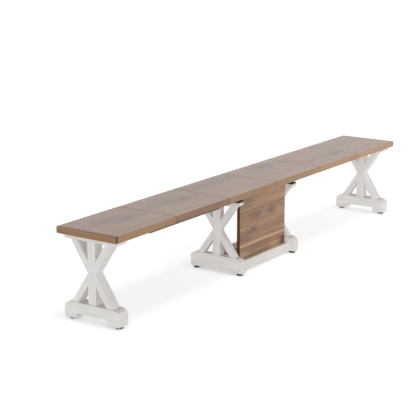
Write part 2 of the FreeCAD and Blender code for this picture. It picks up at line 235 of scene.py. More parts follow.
def drawn_in(points: np.ndarray, amount: float) -> np.ndarray:
    """Move each point of an anticlockwise outline inwards, keeping its sides parallel.

    A point moves along the sum of its two sides' normals, by amount / cos(half its turn).
    """
    side = np.roll(points, -1, axis=0) - points
    normal = np.stack([side[:, 1], -side[:, 0]], axis=1)
    normal /= np.linalg.norm(normal, axis=1)[:, None]
    both = normal + np.roll(normal, 1, axis=0)
    return points - 2.0 * amount * both / np.sum(both * both, axis=1)[:, None]


def prism(
    outline: np.ndarray, start: float, end: float, ease: float, axis: Axis = Axis.X
) -> Surface:
    """Carry an outline along an axis and round its corners and both its rims.

    The rim is a quarter circle: at angle a the outline is drawn in by ease * (1 - sin a) and
    lies ease * (1 - cos a) from the end. Between the two rims the surface is straight. The
    corners are a little rounder than the rims, so that they stay round where they are drawn in.

    Args:
        outline: The closed outline, in the two coordinates that the axis names first.
        start: Where the prism starts along the axis.
        end: Where it ends, above start.
        ease: The radius of the corners and the rims.
        axis: The axis.

    Returns:
        The closed surface.
    """
    loop = eased(outline, ease * CORNER_TO_RIM)
    angle = np.linspace(0.0, QUARTER_TURN, RIM_ROWS)
    insets = ease * (1.0 - np.sin(angle))
    depths = ease * (1.0 - np.cos(angle))
    rims = [drawn_in(loop, inset) for inset in insets]
    rows = np.stack(rims + rims[::-1])
    path = np.concatenate([start + depths, end - depths[::-1]])
    count = len(loop)
    flat = np.empty((len(path), count, 3))
    flat[:, :, axis.value[0]] = rows[:, :, 0]
    flat[:, :, axis.value[1]] = rows[:, :, 1]
    flat[:, :, axis.value[2]] = path[:, None]
    return Surface(flat.reshape(-1, 3), grid_faces(len(path), count))


def grid_faces(rows: int, columns: int) -> list[list[int]]:
    """Return the faces of a tube of closed rows, with a flat face over each end."""
    index = np.arange(rows * columns).reshape(rows, columns)
    ahead = np.roll(index, -1, axis=1)
    quads = np.stack([index[:-1], ahead[:-1], ahead[1:], index[1:]], axis=-1)
    return quads.reshape(-1, 4).tolist() + [index[0, ::-1].tolist(), index[-1].tolist()]


def turned(
    profile: np.ndarray, centre: Sequence[float], axis: Axis = Axis.Z, sides: int = 32
) -> Surface:
    """Turn a profile round an axis.

    Row i is the circle of radius profile[i, 0] at the height profile[i, 1] above the centre.

    Args:
        profile: Radii and heights, from the foot outwards and on to the tip of the axis. If the
            last height lies below the first, it is the other way round and the faces are turned.
        centre: The point of the axis at height 0.
        axis: The axis of the turning.
        sides: The number of sides round.

    Returns:
        The closed surface.
    """
    angle = np.arange(sides) * (2.0 * HALF_TURN / sides)
    circle = profile[:, 0, None, None] * unit(angle)
    points = np.empty((len(profile), sides, 3))
    points[:, :, axis.value[0]] = circle[:, :, 0]
    points[:, :, axis.value[1]] = circle[:, :, 1]
    points[:, :, axis.value[2]] = profile[:, 1, None]
    faces = grid_faces(len(profile), sides)
    if profile[-1, 1] < profile[0, 1]:
        faces = [f[::-1] for f in faces]
    return Surface(points.reshape(-1, 3) + np.array(centre, float), faces)


def board(box: Box, ease: float, grain: Axis = Axis.X, seed: int = 0) -> Surface:
    """Return a board that fills a box, with eased edges and its grain along an axis."""
    first, second, third = grain.value
    outline = rectangle((box.low[first], box.low[second]), (box.high[first], box.high[second]))
    surface = prism(outline, box.low[third], box.high[third], ease, grain)
    return surface.along(np.eye(3)[third], seed)


def solid_boxes(node: str) -> list[Box]:
    """Find the box of each separate solid in a node of the frame.

    Vertices at one place are merged. Each takes the lowest number found on its triangles, over
    and over, until nothing changes: then every solid has one number.

    Args:
        node: The node's name.

    Returns:
        The boxes, ordered along X and then across.
    """
    mesh = frame["nodes"][node].data
    points = np.empty(len(mesh.vertices) * 3, np.float32)
    mesh.vertices.foreach_get("co", points)
    points = points.reshape(-1, 3).astype(float)
    corners = np.empty(len(mesh.loops), np.int64)
    mesh.loops.foreach_get("vertex_index", corners)
    places, merged = np.unique(points.round(6), axis=0, return_inverse=True)
    triangles = merged.reshape(-1)[corners].reshape(-1, 3)
    label = np.arange(len(places))
    while True:
        spread = label.copy()
        np.minimum.at(spread, triangles, label[triangles].min(axis=1)[:, None])
        if np.array_equal(spread, label):
            break
        label = spread
    boxes = [Box(places[label == n].min(0), places[label == n].max(0)) for n in np.unique(label)]
    return sorted(boxes, key=lambda box: (round(box.low[0], 4), box.low[1]))


def node_box(node: str) -> Box:
    """Return the box of a whole node of the frame."""
    low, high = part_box(node)
    return Box(np.array(low), np.array(high))


BODY_OF = {n: b for b, group in frame["record"]["behaviour"]["bodies"].items() for n in group}


def add_piece(
    name: str,
    surface: Surface,
    material: bpy.types.Material,
    node: str,
    stands_for: bool = True,
) -> bpy.types.Object:
    """Make an object from a surface and let it ride with a node's body.

    Args:
        name: The piece's name.
        surface: Its shells.
        material: Its finish.
        node: The node that it stands for, or lies on.
        stands_for: Whether it hides the node.

    Returns:
        The new object, at the origin.
    """
    mesh = bpy.data.meshes.new(name)
    mesh.from_pydata(surface.vertices.tolist(), [], surface.faces)
    mesh.polygons.foreach_set("use_smooth", np.ones(len(mesh.polygons), bool))
    if surface.grain is not None:
        layer = mesh.attributes.new(GRAIN, "FLOAT_VECTOR", "POINT")
        layer.data.foreach_set("vector", surface.grain.astype(np.float32).ravel())
    mesh.materials.append(material)
    piece = bpy.data.objects.new(name, mesh)
    bpy.context.scene.collection.objects.link(piece)
    flats = piece.modifiers.new("flat_faces_lead", "WEIGHTED_NORMAL")
    flats.weight = FLAT_FACE_WEIGHT
    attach(piece, BODY_OF[node])
    if stands_for:
        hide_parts(node)
    LOG.info("%s: %d faces on %s", name, len(mesh.polygons), BODY_OF[node])
    return piece


def dress(node: str, material: bpy.types.Material) -> None:
    """Give a node of the frame, whose shape stays, its finish."""
    shown = frame["nodes"][node]
    shown.data.materials.clear()
    shown.data.materials.append(material)
    LOG.info("%s keeps its shape and takes %s", node, material.name)


@dataclass(frozen=True)
class Noise:
    """Smooth noise, about 0.5 on average: its lumps per metre along each axis, and its detail."""

    scale: tuple[float, float, float]
    detail: float = 2.0


class Graph:
    """The nodes of a material or of the surround, with a short method for each kind in use."""

    def __init__(self, owner: bpy.types.Material | bpy.types.World) -> None:
        """Empty the node tree of a new material or world."""
        owner.use_nodes = True
        self.tree = owner.node_tree
        self.tree.nodes.clear()

    def feed(self, socket: Socket, value: Feed) -> None:
        """Link a socket to another, or give it a number or a colour."""
        if isinstance(value, Socket):
            self.tree.links.new(value, socket)
        elif isinstance(value, (int, float)):
            socket.default_value = value
        else:
            socket.default_value = (*value, 1.0)[: len(socket.default_value)]

    def node(self, kind: str, *values: Feed) -> bpy.types.Node:
        """Add a node of a kind, named without its ShaderNode, and feed its first sockets."""
        node = self.tree.nodes.new(f"ShaderNode{kind}")
        for socket, value in zip(node.inputs, values):
            self.feed(socket, value)
        return node

    def parts(self, vector: Feed) -> tuple[Socket, ...]:
        """Return a vector's three numbers."""
        return tuple(self.node("SeparateXYZ", vector).outputs)

    def vector(self, x: Feed, y: Feed, z: Feed) -> Socket:
        """Return the vector of three numbers."""
        return self.node("CombineXYZ", x, y, z).outputs[0]

    def math(self, operation: str, *values: Feed) -> Socket:
        """Return the result of one operation on up to three numbers."""
        node = self.node("Math", *values)
        node.operation = operation
        return node.outputs[0]

    def swing(self, value: Feed, amount: float, base: Feed) -> Socket:
        """Return a base plus an amount times how far a value from 0 to 1 lies above 0.5."""
        return self.math("MULTIPLY_ADD", self.math("SUBTRACT", value, 0.5), amount, base)

    def vector_math(self, operation: str, first: Feed, second: Feed) -> Socket:
        """Return the vector that one operation makes of two vectors."""
        node = self.node("VectorMath", first, second)
        node.operation = operation
        return node.outputs["Vector"]

    def length(self, x: Feed, y: Feed) -> Socket:
        """Return how far a point of a plane lies from the plane's origin."""
        node = self.node("VectorMath", self.vector(x, y, 0.0))
        node.operation = "LENGTH"
        return node.outputs["Value"]

    def noise(self, place: Feed, look: Noise) -> Socket:
        """Return smooth noise at a place."""
        node = self.node("TexNoise", self.vector_math("MULTIPLY", place, look.scale))
        node.inputs["Scale"].default_value = 1.0
        node.inputs["Detail"].default_value = look.detail
        return node.outputs["Fac"]

    def random(self, number: Feed) -> Socket:
        """Return a number from 0 to 1 that jumps with the given one."""
        node = self.node("TexWhiteNoise")
        node.noise_dimensions = "1D"
        self.feed(node.inputs["W"], number)
        return node.outputs["Value"]

    def span(
        self, value: Feed, start: float, end: float, low: float = 0.0, high: float = 1.0
    ) -> Socket:
        """Return low to high, eased in and out, as a value goes from start to end."""
        node = self.node("MapRange", value, start, end, low, high)
        node.interpolation_type = "SMOOTHSTEP"
        return node.outputs[0]

    def ramp(self, factor: Feed, *colours: Colour) -> Socket:
        """Return the colour at a factor along a row of evenly spaced colours."""
        node = self.node("ValToRGB", factor)
        stops = node.color_ramp.elements
        while len(stops) < len(colours):
            stops.new(1.0)
        for number, colour in enumerate(colours):
            stops[number].position = number / (len(colours) - 1)
            stops[number].color = (*colour, 1.0)
        return node.outputs["Color"]

    def mix(self, factor: Feed, first: Feed, second: Feed, blend: str = "MIX") -> Socket:
        """Return a blend of two colours, whose sockets are a mix node's seventh and eighth."""
        node = self.node("Mix", factor)
        node.data_type = "RGBA"
        node.blend_type = blend
        self.feed(node.inputs[6], first)
        self.feed(node.inputs[7], second)
        return node.outputs[2]

    def seen_directly(self) -> Socket:
        """Return 1 for camera, glossy and transmission rays, and 0 for the light on surfaces."""
        rays = self.node("LightPath").outputs
        seen = self.math("MAXIMUM", rays["Is Camera Ray"], rays["Is Glossy Ray"])
        return self.math("MAXIMUM", seen, rays["Is Transmission Ray"])


class Finish(Graph):
    """A material's nodes round one principled shader."""

    def __init__(self, name: str) -> None:
        """Start a material that holds the shader and its output."""
        self.material = bpy.data.materials.new(name)
        super().__init__(self.material)
        self.shader = self.node("BsdfPrincipled")
        self.node("OutputMaterial", self.shader.outputs["BSDF"])

    def set(self, **values: Feed) -> None:
        """Set or link the shader's sockets, named with underscores for spaces."""
        for name, value in values.items():
            self.feed(self.shader.inputs[name.replace("_", " ")], value)

    def grain_place(self) -> Socket:
        """Return the vertex's place in the wood's own axes, in metres."""
        node = self.node("Attribute")
        node.attribute_name = GRAIN
        return node.outputs["Vector"]

    def object_place(self) -> Socket:
        """Return the place on the object, in metres."""
        return self.node("TexCoord").outputs["Object"]

    def bump(self, height: Feed, distance: float) -> None:
        """Let a height, times a distance in metres, tilt the shader's normal."""
        node = self.node("Bump")
        node.inputs["Distance"].default_value = distance
        self.feed(node.inputs["Height"], height)
        self.feed(self.shader.inputs["Normal"], node.outputs[0])


@dataclass(frozen=True)
class Knot:
    """A knot: its place in the wood's axes, its half-width across the grain and how dark it is."""

    x: float
    y: float
    size: float
    dark: float


@dataclass(frozen=True)
class Streak:
    """A band along the grain, between two heights across it, of another lightness.

    lift is what is added to the tone, from -1 to 1. start and end bound it along the grain.
    """

    low: float
    high: float
    lift: float
    start: float = -9.0
    end: float = 9.0


@dataclass(frozen=True)
class StainedWood:
    """Stained and lacquered wood, made of staves glued side by side.

    Lengths are in metres and shares run from 0 to 1. The tone runs from 0 for the dark colour
    over 0.5 for the body to 1 for the light one, and contrast scales its swings. across is the
    axis across the staves: 1 for a flat board, 2 for one that stands on edge.
    """

    name: str
    light: Colour = (0.425, 0.238, 0.124)
    body: Colour = (0.330, 0.172, 0.082)
    dark: Colour = (0.180, 0.082, 0.040)
    knot_colour: Colour = (0.050, 0.032, 0.024)
    across: int = 1
    stave: float = 0.118
    stave_tone: float = 0.16
    stave_shift: float = 5.0
    lowest_stave: float = 4.0
    glue_line: Span = (0.493, 0.499)
    glue_dark: float = 0.45
    ring: float = 0.0105
    ring_power: float = 2.2
    ring_close: float = 0.94
    ring_tone: float = -0.45
    pith_depth: float = 0.085
    lean: float = 0.05
    wander: Noise = Noise((1.1, 7.0, 7.0))
    wander_reach: float = 0.075
    jitter: Noise = Noise((5.0, 60.0, 60.0), 3.0)
    jitter_reach: float = 0.006
    fibres: Noise = Noise((9.0, 420.0, 420.0), 4.0)
    fibre_tone: float = 0.5
    clouds: Noise = Noise((1.3, 19.0, 19.0))
    cloud_tone: float = 1.7
    pores: Noise = Noise((26.0, 1150.0, 1150.0))
    pore_span: Span = (0.40, 0.28)
    pore_dark: float = 0.5
    mean_tone: float = 0.60
    lift: float = 0.0
    edge_lift: float = 0.0
    edge_at: float = -0.1775
    edge_span: Span = (0.003, 0.001)
    edge_tint: Colour = (1.0, 1.03, 0.90)
    contrast: float = 0.5
    ends: Span = (-9.0, 9.0)
    # Painted shade: a dark band within reach of each end stands for the shade in a seam or joint
    # gap
    end_shade_reach: float = 0.003
    end_shade_core: float = 0.4
    end_shade_dark: float = 0.95
    end_shade_spared: float = 0.75
    end_shade_colour: Colour = (0.050, 0.032, 0.024)
    face_span: Span = (0.0006, 0.0002)
    face_fibres: Span = (0.35, 0.65)
    face_colour: Colour = (0.150, 0.078, 0.042)
    relief: float = 0.00008
    fibre_height: float = 0.6
    ring_height: float = -0.35
    roughness: float = 0.26
    rough_swing: float = 0.16
    coat: float = 0.06
    coat_roughness: float = 0.15
    seed: float = 0.0
    seed_shift: float = 3.7
    seed_staves: float = 17.3
    second_draw: float = 51.7
    knot_wobble: Noise = Noise((30.0, 60.0, 60.0))
    knot_length: float = 2.6
    knot_pull: float = 2.2
    pull_span: Span = (3.2, 0.2)
    heart_span: Span = (1.15, 0.25)
    shade_span: Span = (2.8, 0.8)
    streak_wander: Noise = Noise((3.0, 9.0, 9.0))
    streak_reach: float = 0.018
    streak_soft: float = 0.006
    streak_fade: float = 0.03
    knots: tuple[Knot, ...] = ()
    streaks: tuple[Streak, ...] = ()

    def build(self) -> bpy.types.Material:
        """Build the material.

        Rings are cylinders round a pith below each stave: their number is the distance from
        the pith, plus a lean along the grain and slow noise, over the ring's width. Each stave
        has its own pith and tone, taken from its number. Round a knot the rings close in.

        Returns:
            The material.
        """
        graph = Finish(self.name)
        true_place = graph.grain_place()
        place = graph.vector_math("ADD", true_place, (self.seed * self.seed_shift, 0.0, 0.0))
        x, y, z = graph.parts(place)
        flat, deep = (y, z) if self.across == 1 else (z, y)
        from_lowest = graph.math("ADD", flat, self.lowest_stave * self.stave)
        stave_place = graph.math("DIVIDE", from_lowest, self.stave)
        number = graph.math("ADD", graph.math("FLOOR", stave_place), self.seed * self.seed_staves)
        chance = graph.random(number)
        other_chance = graph.random(graph.math("ADD", number, self.second_draw))
        shifted_x = graph.math("MULTIPLY_ADD", other_chance, self.stave_shift, x)
        shifted = graph.vector(shifted_x, y, z)
        in_stave = graph.math("FRACT", stave_place)
        sideways = graph.math("MULTIPLY", graph.math("SUBTRACT", in_stave, chance), self.stave)
        wander = graph.noise(shifted, self.wander)
        sideways = graph.swing(wander, self.wander_reach, sideways)
        distance = graph.length(sideways, graph.math("ADD", deep, self.pith_depth))
        lean = graph.math("MULTIPLY", x, graph.math("SUBTRACT", other_chance, 0.5))
        distance = graph.math("MULTIPLY_ADD", lean, self.lean, distance)
        jitter = graph.noise(shifted, self.jitter)
        distance = graph.math("MULTIPLY_ADD", jitter, self.jitter_reach, distance)
        darkness: Feed = 0.0
        for knot in self.knots:
            distance, darkness = self.add_knot(graph, true_place, knot, distance, darkness)
        phase = graph.math("FRACT", graph.math("DIVIDE", distance, self.ring))
        late = graph.math("POWER", phase, self.ring_power)
        late = graph.math("MULTIPLY", late, graph.span(phase, 1.0, self.ring_close))
        fibres = graph.noise(shifted, self.fibres)
        clouds = graph.noise(shifted, self.clouds)
        mean = self.mean_tone + self.lift
        tone = graph.math("MULTIPLY_ADD", late, self.ring_tone * self.contrast, mean)
        tone = graph.swing(fibres, self.fibre_tone * self.contrast, tone)
        tone = graph.swing(clouds, self.cloud_tone * self.contrast, tone)
        tone = graph.swing(chance, self.stave_tone, tone)
        for streak in self.streaks:
            tone = self.add_streak(graph, true_place, streak, tone)
        along, side, _ = graph.parts(true_place)
        on_edge = graph.span(side, *(self.edge_at + inset for inset in self.edge_span))
        tone = graph.math("MULTIPLY_ADD", on_edge, self.edge_lift, tone)
        colour = graph.ramp(tone, self.dark, self.body, self.light)
        pore_dark = self.pore_dark * self.contrast
        pore = graph.span(graph.noise(shifted, self.pores), *self.pore_span, 0.0, pore_dark)
        colour = graph.mix(pore, colour, self.dark)
        colour = graph.mix(on_edge, colour, self.edge_tint, "MULTIPLY")
        from_middle = graph.math("ABSOLUTE", graph.math("SUBTRACT", in_stave, 0.5))
        glue = graph.span(from_middle, *self.glue_line, 0.0, self.glue_dark)
        colour = graph.mix(glue, colour, self.dark)
        if self.knots:
            colour = graph.mix(darkness, colour, self.knot_colour)
        height = graph.math("MULTIPLY", late, self.ring_height)
        height = graph.math("MULTIPLY_ADD", fibres, self.fibre_height, height)
        graph.bump(graph.math("SUBTRACT", height, pore), self.relief)
        graph.set(Roughness=graph.swing(fibres, self.rough_swing, self.roughness), IOR=1.5)
        self.paint_end_shade_and_grain(graph, along, on_edge, fibres, colour)
        return graph.material

    def paint_end_shade_and_grain(
        self, graph: Finish, along: Socket, on_edge: Socket, fibres: Socket, colour: Socket
    ) -> None:
        """Paint the shade of a seam at both ends, dark and without coat or sheen, and put end
        grain on the end faces.

        Args:
            graph: The material's nodes.
            along: The place along the grain.
            on_edge: 1 on the front edge, which gets less of the painted shade, and 0 elsewhere.
            fibres: The fibres' noise.
            colour: The colour so far.
        """
        from_start = graph.math("SUBTRACT", along, self.ends[0])
        to_end = graph.math("MINIMUM", from_start, graph.math("SUBTRACT", self.ends[1], along))
        core = self.end_shade_core * self.end_shade_reach
        painted_end_shade = graph.span(to_end, self.end_shade_reach, core, 0.0, self.end_shade_dark)
        kept = graph.math("MULTIPLY_ADD", on_edge, -self.end_shade_spared, 1.0)
        painted_end_shade = graph.math("MULTIPLY", painted_end_shade, kept)
        colour = graph.mix(painted_end_shade, colour, self.end_shade_colour)
        # End grain on the end faces; on the panel its dark colour is partly painted shade
        end_grain_and_shade = graph.span(fibres, *self.face_fibres)
        end_grain_and_shade = graph.mix(end_grain_and_shade, self.face_colour, self.dark)
        colour = graph.mix(graph.span(to_end, *self.face_span), colour, end_grain_and_shade)
        graph.set(Base_Color=colour, Coat_Roughness=self.coat_roughness)
        # The painted shade also takes off the coat and the sheen, so the seam stays dark on the
        # glossy top
        graph.set(Coat_Weight=graph.math("MULTIPLY_ADD", painted_end_shade, -self.coat, self.coat))
        graph.set(Specular_IOR_Level=graph.math("MULTIPLY_ADD", painted_end_shade, -0.5, 0.5))

    def add_knot(
        self, graph: Finish, place: Feed, knot: Knot, distance: Feed, darkness: Feed
    ) -> tuple[Socket, Socket]:
        """Close the rings round one knot, drawn out along the grain, and darken its heart.

        Args:
            graph: The material's nodes.
            place: The place in the wood's axes.
            knot: The knot.
            distance: The distance from the pith so far.
            darkness: The share of knot colour so far.

        Returns:
            The new distance and the new share.
        """
        x, y, z = graph.parts(graph.vector_math("SUBTRACT", place, (knot.x, 0.0, 0.0)))
        flat = graph.math("SUBTRACT", y if self.across == 1 else z, knot.y)
        long = graph.math("DIVIDE", x, self.knot_length * knot.size)
        away = graph.length(long, graph.math("DIVIDE", flat, knot.size))
        away = graph.swing(graph.noise(place, self.knot_wobble), 0.5, away)
        pull = graph.span(away, *self.pull_span)
        distance = graph.math("MULTIPLY_ADD", pull, self.knot_pull * knot.size, distance)
        heart = graph.span(away, *self.heart_span, 0.0, knot.dark)
        shade = graph.span(away, *self.shade_span, 0.0, knot.dark / 2.0)
        return distance, graph.math("MAXIMUM", darkness, graph.math("MAXIMUM", heart, shade))

    def add_streak(self, graph: Finish, place: Feed, streak: Streak, tone: Feed) -> Socket:
        """Lift or lower the tone inside one band, whose edges wander a little.

        Args:
            graph: The material's nodes.
            place: The place in the wood's axes.
            streak: The band.
            tone: The tone so far.

        Returns:
            The new tone.
        """
        x, y, z = graph.parts(place)
        wander = graph.noise(place, self.streak_wander)
        flat = graph.swing(wander, self.streak_reach, y if self.across == 1 else z)
        soft = min(self.streak_soft, (streak.high - streak.low) / 3.0)
        bounds = (
            (flat, streak.low, soft),
            (flat, streak.high, -soft),
            (x, streak.start, self.streak_fade),
            (x, streak.end, -self.streak_fade),
        )
        inside: Feed = 1.0
        for value, bound, fade in bounds:
            share = graph.span(value, bound - fade, bound + fade)
            inside = graph.math("MULTIPLY", inside, share)
        return graph.math("MULTIPLY_ADD", inside, streak.lift, tone)


@dataclass(frozen=True)
class PaintedWood:
    """Satin paint brushed on wood, whose grain shows through it a little."""

    name: str
    colour: Colour = (0.806, 0.787, 0.767)
    shade: Colour = (0.665, 0.640, 0.615)
    brush: Noise = Noise((4.0, 260.0, 260.0), 3.0)
    grain: Noise = Noise((7.0, 90.0, 90.0), 4.0)
    clouds: Noise = Noise((5.0, 9.0, 9.0), 3.0)
    grain_span: Span = (0.62, 0.34)
    grain_shade: float = 0.55
    cloud_span: Span = (0.3, 0.7)
    cloud_shade: float = 0.22
    grain_height: float = 1.3
    brush_height: float = 0.6
    relief: float = 0.00022
    roughness: float = 0.46
    rough_swing: float = 0.14

    def build(self) -> bpy.types.Material:
        """Build the material: brush marks and grain along the piece, and faint clouds."""
        graph = Finish(self.name)
        place = graph.grain_place()
        brush = graph.noise(place, self.brush)
        grain = graph.noise(place, self.grain)
        streaks = graph.span(grain, *self.grain_span, 0.0, self.grain_shade)
        colour = graph.mix(streaks, self.colour, self.shade)
        clouds = graph.noise(place, self.clouds)
        faint = graph.span(clouds, *self.cloud_span, 0.0, self.cloud_shade)
        height = graph.math("MULTIPLY", brush, self.brush_height)
        graph.bump(graph.math("MULTIPLY_ADD", grain, self.grain_height, height), self.relief)
        rough = graph.swing(brush, self.rough_swing, self.roughness)
        graph.set(Base_Color=graph.mix(faint, colour, self.shade), Roughness=rough, IOR=1.48)
        return graph.material


@dataclass(frozen=True)
class RawWood:
    """Plain sanded wood with no finish, for the parts that don't show in use."""

    name: str
    light: Colour = (0.560, 0.430, 0.290)
    dark: Colour = (0.390, 0.270, 0.165)
    ring: float = 0.0042
    slow: Noise = Noise((1.2, 9.0, 9.0))
    slow_reach: float = 0.035
    fibres: Noise = Noise((11.0, 460.0, 460.0), 4.0)
    ring_power: float = 2.0
    early_tone: float = 0.1
    ring_tone: float = 0.45
    fibre_tone: float = 0.9
    relief: float = 0.0003
    rough_span: Span = (0.3, 0.7)
    roughness: Span = (0.62, 0.78)

    def build(self) -> bpy.types.Material:
        """Build the material: straight rings with fine fibres between them."""
        graph = Finish(self.name)
        place = graph.grain_place()
        _, y, z = graph.parts(place)
        slow = graph.noise(place, self.slow)
        rings = graph.math("MULTIPLY_ADD", slow, self.slow_reach, graph.math("ADD", y, z))
        phase = graph.math("FRACT", graph.math("DIVIDE", rings, self.ring))
        fibres = graph.noise(place, self.fibres)
        late = graph.math("POWER", phase, self.ring_power)
        tone = graph.math("MULTIPLY_ADD", late, self.ring_tone, self.early_tone)
        tone = graph.swing(fibres, self.fibre_tone, tone)
        graph.bump(fibres, self.relief)
        rough = graph.span(fibres, *self.rough_span, *self.roughness)
        graph.set(Base_Color=graph.ramp(tone, self.light, self.dark), Roughness=rough, IOR=1.45)
        return graph.material


@dataclass(frozen=True)
class Moulded:
    """Moulded plastic or powder-coated steel: one colour with a fine orange-peel skin."""

    name: str
    colour: Colour
    worn: Colour
    roughness: float
    skin: Noise = Noise((900.0, 900.0, 900.0))
    clouds: Noise = Noise((23.0, 23.0, 23.0), 4.0)
    dust_span: Span = (0.45, 0.75)
    dust: float = 0.35
    relief: float = 0.00006
    rough_swing: float = 0.2

    def build(self) -> bpy.types.Material:
        """Build the material: a fine skin and a trace of dust in slow clouds."""
        graph = Finish(self.name)
        place = graph.object_place()
        clouds = graph.noise(place, self.clouds)
        dust = graph.span(clouds, *self.dust_span, 0.0, self.dust)
        graph.bump(graph.noise(place, self.skin), self.relief)
        rough = graph.swing(clouds, self.rough_swing, self.roughness)
        graph.set(Base_Color=graph.mix(dust, self.colour, self.worn), Roughness=rough, IOR=1.5)
        return graph.material


@dataclass(frozen=True)
class PlatedSteel:
    """Zinc-plated steel, drawn or turned, with fine scratches."""

    name: str
    colour: Colour = (0.560, 0.565, 0.575)
    worn: Colour = (0.380, 0.375, 0.365)
    scratches: Noise = Noise((300.0, 2200.0, 700.0), 3.0)
    clouds: Noise = Noise((160.0, 160.0, 160.0), 3.0)
    wear_span: Span = (0.4, 0.7)
    wear: float = 0.6
    relief: float = 0.00003
    rough_span: Span = (0.3, 0.7)
    roughness: Span = (0.28, 0.45)

    def build(self) -> bpy.types.Material:
        """Build the material: metal with scratches and duller clouds."""
        graph = Finish(self.name)
        place = graph.object_place()
        clouds = graph.noise(place, self.clouds)
        worn = graph.span(clouds, *self.wear_span, 0.0, self.wear)
        graph.bump(graph.noise(place, self.scratches), self.relief)
        rough = graph.span(clouds, *self.rough_span, *self.roughness)
        colour = graph.mix(worn, self.colour, self.worn)
        graph.set(Base_Color=colour, Roughness=rough, Metallic=1.0)
        return graph.material


class Finishes:
    """The finishes that several sub-assemblies share, each built once."""

    steel_look = Moulded("black_powder_coat", (0.018, 0.018, 0.019), (0.060, 0.058, 0.055), 0.45)
    glide_look = Moulded("black_glide", (0.008, 0.008, 0.008), (0.020, 0.019, 0.018), 0.60)
    saddle_look = Moulded("black_saddle", (0.020, 0.020, 0.020), (0.055, 0.053, 0.050), 0.50)
    nylon_look = Moulded(
        "white_nylon", (0.680, 0.670, 0.630), (0.480, 0.460, 0.420), 0.38,
        skin=Noise((500.0, 500.0, 500.0)),
    )

    def __init__(self) -> None:
        """Build them all."""
        self.paint = PaintedWood("white_paint").build()
        self.raw = RawWood("sanded_wood").build()
        self.steel = self.steel_look.build()
        self.glide = self.glide_look.build()
        self.saddle = self.saddle_look.build()
        self.nylon = self.nylon_look.build()
        self.zinc = PlatedSteel("zinc").build()


def screw_heads(places: np.ndarray, radius: float, axis: Axis, way: int) -> Surface:
    """Return pan-head screw heads that stand on a face.

    The profile is a quarter ellipse from the rim up to a flat crown, with a shallow socket.

    Args:
        places: The centres on the face, one row each.
        radius: The heads' radius.
        axis: The face's axis.
        way: 1 if the heads stand towards the axis's high end, or -1.

    Returns:
        The heads as separate shells.
    """
    crown, height, rows = 0.45, 0.55, 5
    angle = np.linspace(0.0, QUARTER_TURN, rows)
    dome = np.stack([crown + (1.0 - crown) * np.cos(angle), height * np.sin(angle)], axis=1)
    socket = np.array([(0.40, 0.50), (0.36, 0.18)])
    profile = np.concatenate([dome, socket]) * radius * (1.0, way)
    return joined([turned(profile, place, axis, HEAD_SIDES) for place in places])


def add_screws(name: str, heads: Surface, finishes: Finishes, node: str) -> None:
    """Add zinc-plated screw heads, which lie on a node and don't stand for it."""
    add_piece(name, heads, finishes.zinc, node, stands_for=False)


